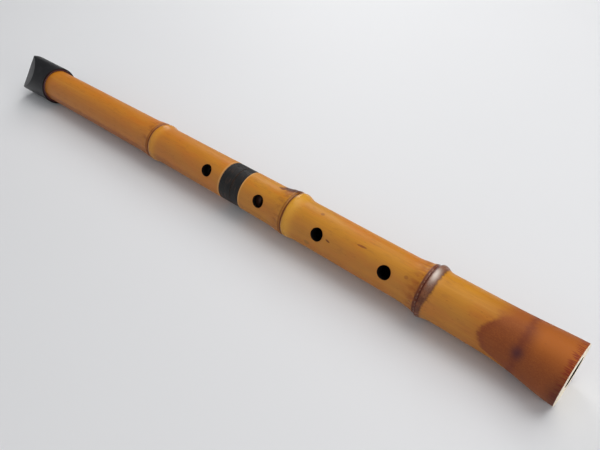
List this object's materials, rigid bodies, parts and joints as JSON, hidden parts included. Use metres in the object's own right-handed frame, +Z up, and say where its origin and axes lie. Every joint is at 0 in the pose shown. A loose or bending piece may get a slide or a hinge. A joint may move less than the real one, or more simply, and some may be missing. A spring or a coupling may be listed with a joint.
{
  "type": "shakuhachi",
  "caption": "Lying bamboo end-blown flute: two culm sections with a tenon joint and wound black bindings, node rings, flared root end, finger holes and a slanted black mouth cap.",
  "frame": {"origin": "on the resting surface, under the centre of the lying flute's bounding box", "axes": "+X from the mouth towards the root end, +Z up, the finger holes face -Y and upwards as the flute lies"},
  "size_m": [0.5494, 0.0412, 0.0404],
  "materials": {
    "bamboo": "satin lacquered bamboo skin, golden tan with darker root end",
    "lacquer": "glossy dark lacquer",
    "tenon": "smooth dark lacquered bamboo",
    "rattan": "satin black lacquered rattan strand",
    "horn": "polished dark horn",
    "cap": "satin black",
    "felt": "dark red felt"
  },
  "bodies": {
    "lower_section": {"lower_culm": "bamboo", "lower_bore_lining": "lacquer", "joint_socket": "lacquer", "lower_joint_binding": "rattan"},
    "upper_section": {"upper_culm": "bamboo", "upper_bore_lining": "lacquer", "joint_tenon": "tenon", "upper_joint_binding": "rattan", "blowing_edge_inlay": "horn"},
    "mouth_cap_body": {"mouth_cap": "cap", "cap_lining": "felt"}
  },
  "joints": [
    {"name": "joint_pull", "type": "slide", "parent": "lower_section", "child": "upper_section", "axis": [-1, 0, -0.0062], "range_m": [0, 0.03]},
    {"name": "cap_pull", "type": "slide", "parent": "upper_section", "child": "mouth_cap_body", "axis": [-0.9999, -0.0074, -0.0123], "range_m": [0, 0.045]}
  ]
}
